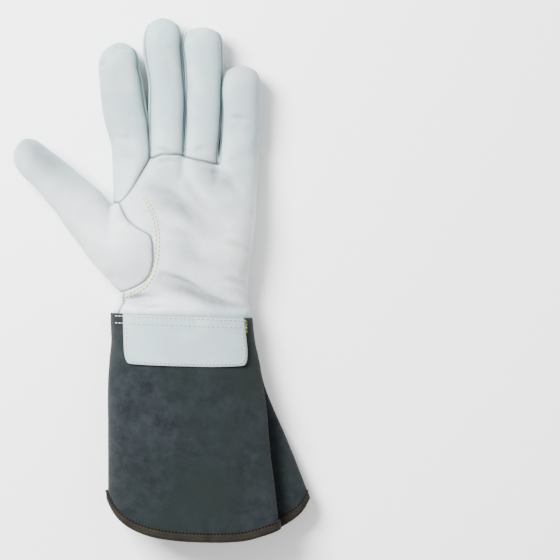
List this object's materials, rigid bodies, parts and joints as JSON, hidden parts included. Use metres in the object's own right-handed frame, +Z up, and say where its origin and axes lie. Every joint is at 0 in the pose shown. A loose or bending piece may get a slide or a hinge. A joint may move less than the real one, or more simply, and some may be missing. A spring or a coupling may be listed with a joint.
{
  "type": "leather welding glove",
  "caption": "Left-hand gauntlet glove of pale grain leather with a flared suede cuff, lying palm up and hollow to the fingertips.",
  "frame": {"origin": "centre of the glove's bounding box, on the surface that it lies on", "axes": "+Y to the fingertips, +X to the little finger's side, +Z up out of the palm"},
  "size_m": [0.2252, 0.4002, 0.0447],
  "materials": {
    "grain_leather": "matt, fine grain",
    "suede": "napped",
    "binding_tape": "woven, matt"
  },
  "bodies": {
    "root": {"palm_panel": "grain_leather", "index_panel": "grain_leather", "middle_finger_front": "grain_leather", "ring_finger_front": "grain_leather", "back_panel": "grain_leather", "fourchette_index_middle": "grain_leather", "fourchette_middle_ring": "grain_leather", "fourchette_ring_little": "grain_leather", "thumb_front": "grain_leather", "thumb_back": "grain_leather", "wrist_patch": "grain_leather", "cuff_palm_side": "suede", "cuff_back_side": "suede", "cuff_binding": "binding_tape"}
  },
  "joints": []
}
